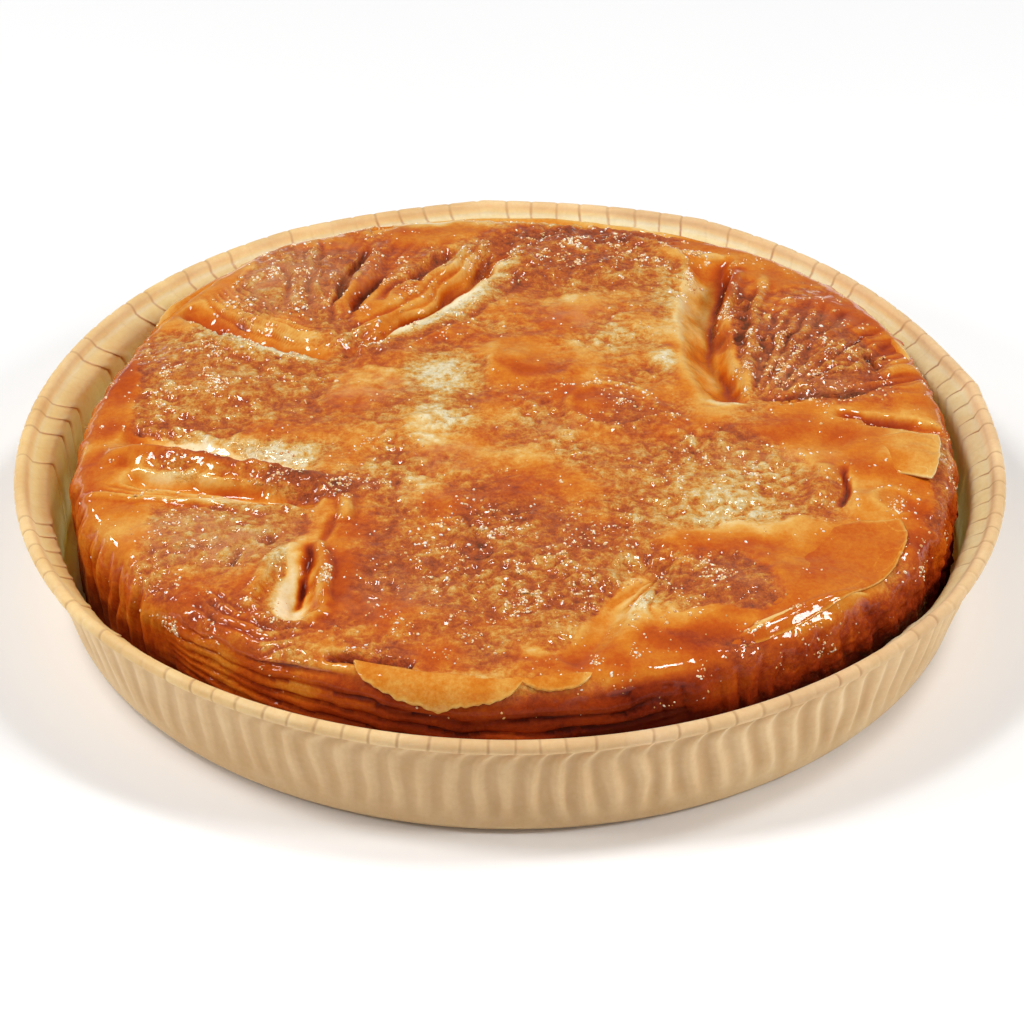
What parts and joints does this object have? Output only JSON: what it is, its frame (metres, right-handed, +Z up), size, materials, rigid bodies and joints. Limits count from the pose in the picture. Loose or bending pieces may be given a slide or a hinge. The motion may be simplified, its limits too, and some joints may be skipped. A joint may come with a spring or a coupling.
{
  "type": "kouign amann in paper baking case",
  "caption": "Round caramelised cake of folded, laminated butter dough, baked and glazed, in its pleated kraft paper baking case with a rolled rim.",
  "frame": {"origin": "middle of the underside, under the middle of the rim's box", "axes": "+Z up out of the case; -Y towards the side of the cake with the hanging glaze"},
  "size_m": [0.1914, 0.19, 0.0354],
  "materials": {
    "caramelised_crust": "flaky golden to red-brown dough under a clear caramel glaze, glossy",
    "kraft_paper": "matt kraft paper, greasy and golden inside"
  },
  "bodies": {
    "root": {"pastry": "caramelised_crust", "paper_case": "kraft_paper"}
  },
  "joints": []
}
